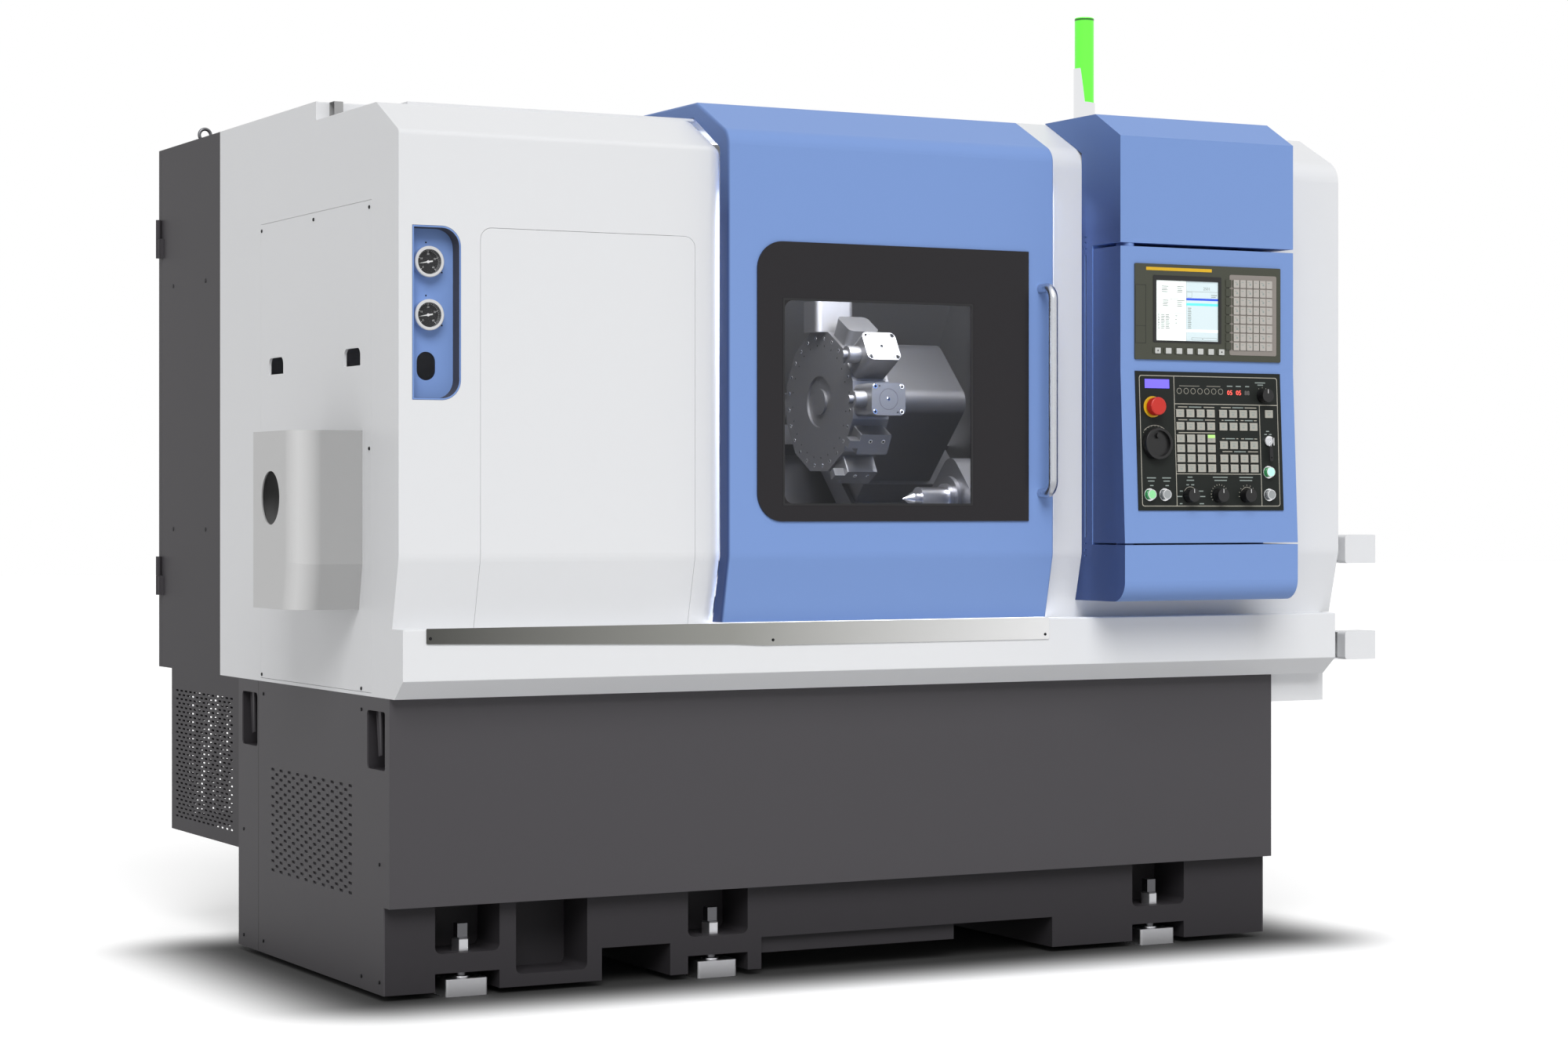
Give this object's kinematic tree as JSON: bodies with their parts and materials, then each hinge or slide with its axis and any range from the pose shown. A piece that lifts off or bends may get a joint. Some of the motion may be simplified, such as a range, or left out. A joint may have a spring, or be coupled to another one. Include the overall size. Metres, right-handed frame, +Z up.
{
  "type": "cnc turning lathe",
  "caption": "Enclosed slant bed turning lathe with a sliding windowed door, a swinging operator station, a tool turret, a tailstock and a rear electrical cabinet.",
  "frame": {"origin": "on the floor under the middle of the whole machine's box", "axes": "+X right along the spindle from headstock to tailstock as the operator sees it, +Y away from the operator, +Z up"},
  "size_m": [2.625, 1.8276, 2.156],
  "materials": {
    "white_paint": "satin powder coat",
    "blue_paint": "satin powder coat",
    "dark_paint": "fine textured powder coat",
    "dark_casting": "painted casting",
    "machined_iron": "machined",
    "guard_steel": "satin",
    "track_steel": "brushed",
    "handle_steel": "satin",
    "bolt_steel": "zinc plated",
    "eye_steel": "zinc plated",
    "spindle_steel": "ground",
    "tool_steel": "satin nickel",
    "gauge_metal": "polished",
    "needle_white": "matte",
    "window_black": "satin print",
    "window_pane": "clear",
    "display_black": "fine grain",
    "panel_black": "fine grain",
    "stop_red": "gloss",
    "knob_black": "matte",
    "button_green": "gloss",
    "button_pale": "gloss",
    "key_steel": "polished",
    "lamp_green": "translucent",
    "holder_steel": "polished"
  },
  "bodies": {
    "machine": {"bed_casting": "dark_casting", "levelling_pads": "bolt_steel", "jack_bolts": "bolt_steel", "base_front_panel": "dark_paint", "base_side_panels": "dark_paint", "skirt_tray": "white_paint", "left_side_panel": "white_paint", "side_hatch": "white_paint", "spindle_end_cover": "white_paint", "left_cover": "white_paint", "spindle_access_panel": "white_paint", "gauge_tray": "blue_paint", "gauge_cases": "gauge_metal", "right_cover": "white_paint", "right_side_panel": "white_paint", "rear_hood": "white_paint", "door_track": "white_paint", "track_plate": "track_steel", "station_housing": "blue_paint", "cabinet_shell": "dark_paint", "lifting_eyes": "eye_steel", "slotted_guard": "dark_paint", "lamp_holder": "holder_steel", "lamp_lens": "lamp_green", "end_brackets": "white_paint", "chamber_guard": "guard_steel", "slant_bed": "machined_iron", "headstock": "machined_iron"},
    "upper_gauge_needle": {"upper_needle": "needle_white"},
    "lower_gauge_needle": {"lower_needle": "needle_white"},
    "sliding_door": {"door_shell": "blue_paint", "window_panel": "window_black", "window_glass": "window_pane", "door_handle": "handle_steel"},
    "swinging_station": {"swing_box": "blue_paint", "display_unit": "display_black", "operator_panel": "panel_black"},
    "stop": {"stop_button": "stop_red"},
    "wheel": {"handwheel": "knob_black"},
    "override": {"override_knob": "knob_black"},
    "mode": {"mode_selector": "knob_black"},
    "feed": {"feed_selector": "knob_black"},
    "speed": {"speed_selector": "knob_black"},
    "key_lock": {"key_switch": "key_steel"},
    "power_on": {"power_on_button": "button_green"},
    "power_off": {"power_off_button": "button_pale"},
    "cycle_start": {"cycle_start_button": "button_green"},
    "feed_hold": {"feed_hold_button": "button_pale"},
    "cabinet_leaf": {"cabinet_door": "dark_paint"},
    "switch_handle": {"main_switch": "stop_red"},
    "spindle": {"spindle_shaft": "spindle_steel", "chuck_body": "spindle_steel", "chuck_jaws": "spindle_steel"},
    "saddle": {"saddle": "machined_iron"},
    "cross_slide": {"cross_slide": "machined_iron"},
    "turret": {"turret_disc": "tool_steel", "tool_holders": "tool_steel"},
    "tailstock": {"tailstock": "machined_iron"},
    "quill": {"quill": "spindle_steel"},
    "live_center": {"live_center": "spindle_steel"}
  },
  "joints": [
    {"name": "door_slide", "type": "slide", "parent": "machine", "child": "sliding_door", "axis": [-1, 0, 0], "range_m": [0, 0.65]},
    {"name": "station_swing", "type": "hinge", "parent": "machine", "child": "swinging_station", "pos_m": [0.4915, -0.85378, 1.59], "axis": [0, 0, -1], "range_deg": [0, 90]},
    {"name": "upper_needle_turn", "type": "hinge", "parent": "machine", "child": "upper_gauge_needle", "pos_m": [-1.0935, -0.68478, 1.5036], "axis": [0, 1, 0], "range_deg": [-35, 235]},
    {"name": "lower_needle_turn", "type": "hinge", "parent": "machine", "child": "lower_gauge_needle", "pos_m": [-1.0935, -0.68478, 1.396], "axis": [0, 1, 0], "range_deg": [-35, 235]},
    {"name": "stop_press", "type": "slide", "parent": "swinging_station", "child": "stop", "axis": [0, 0.9989, -0.0469], "range_m": [0, 0.005], "stiffness_N_per_m": 1500, "springref_m": -0.004},
    {"name": "wheel_turn", "type": "hinge", "parent": "swinging_station", "child": "wheel", "pos_m": [0.5505, -0.88249, 1.146], "axis": [0, -0.9989, 0.0469], "continuous": true},
    {"name": "override_turn", "type": "hinge", "parent": "swinging_station", "child": "override", "pos_m": [0.8445, -0.87732, 1.256], "axis": [0, -0.9989, 0.0469], "range_deg": [-120, 120]},
    {"name": "mode_turn", "type": "hinge", "parent": "swinging_station", "child": "mode", "pos_m": [0.6365, -0.88784, 1.032], "axis": [0, -0.9989, 0.0469], "range_deg": [-90, 90]},
    {"name": "feed_turn", "type": "hinge", "parent": "swinging_station", "child": "feed", "pos_m": [0.7155, -0.88784, 1.032], "axis": [0, -0.9989, 0.0469], "range_deg": [-90, 90]},
    {"name": "speed_turn", "type": "hinge", "parent": "swinging_station", "child": "speed", "pos_m": [0.7905, -0.88784, 1.032], "axis": [0, -0.9989, 0.0469], "range_deg": [-90, 90]},
    {"name": "key_turn", "type": "hinge", "parent": "swinging_station", "child": "key_lock", "pos_m": [0.8565, -0.88206, 1.155], "axis": [0, -0.9989, 0.0469], "range_deg": [0, 90]},
    {"name": "power_on_press", "type": "slide", "parent": "swinging_station", "child": "power_on", "axis": [0, 0.9989, -0.0469], "range_m": [0, 0.003], "stiffness_N_per_m": 600, "springref_m": -0.003},
    {"name": "power_off_press", "type": "slide", "parent": "swinging_station", "child": "power_off", "axis": [0, 0.9989, -0.0469], "range_m": [0, 0.003], "stiffness_N_per_m": 600, "springref_m": -0.003},
    {"name": "cycle_start_press", "type": "slide", "parent": "swinging_station", "child": "cycle_start", "axis": [0, 0.9989, -0.0469], "range_m": [0, 0.003], "stiffness_N_per_m": 600, "springref_m": -0.003},
    {"name": "feed_hold_press", "type": "slide", "parent": "swinging_station", "child": "feed_hold", "axis": [0, 0.9989, -0.0469], "range_m": [0, 0.003], "stiffness_N_per_m": 600, "springref_m": -0.003},
    {"name": "cabinet_open", "type": "hinge", "parent": "machine", "child": "cabinet_leaf", "pos_m": [-1.1725, 0.86882, 0.793], "axis": [0, 0, 1], "range_deg": [0, 110]},
    {"name": "main_switch_turn", "type": "hinge", "parent": "cabinet_leaf", "child": "switch_handle", "pos_m": [-0.1055, 0.88582, 1.25], "axis": [0, 1, 0], "range_deg": [0, 90]},
    {"name": "spindle_turn", "type": "hinge", "parent": "machine", "child": "spindle", "pos_m": [-0.4755, -0.36378, 1.026], "axis": [1, 0, 0], "continuous": true},
    {"name": "saddle_travel", "type": "slide", "parent": "machine", "child": "saddle", "axis": [-1, 0, 0], "range_m": [0, 0.34]},
    {"name": "cross_travel", "type": "slide", "parent": "saddle", "child": "cross_slide", "axis": [0, 0.7071, 0.7071], "range_m": [-0.065, 0.11]},
    {"name": "turret_index", "type": "hinge", "parent": "cross_slide", "child": "turret", "pos_m": [0.1125, -0.13609, 1.25369], "axis": [1, 0, 0], "continuous": true},
    {"name": "tailstock_travel", "type": "slide", "parent": "machine", "child": "tailstock", "axis": [-1, 0, 0], "range_m": [0, 0.11]},
    {"name": "quill_travel", "type": "slide", "parent": "tailstock", "child": "quill", "axis": [-1, 0, 0], "range_m": [0, 0.08]},
    {"name": "center_turn", "type": "hinge", "parent": "quill", "child": "live_center", "pos_m": [0.2065, -0.36378, 1.026], "axis": [1, 0, 0], "continuous": true}
  ]
}
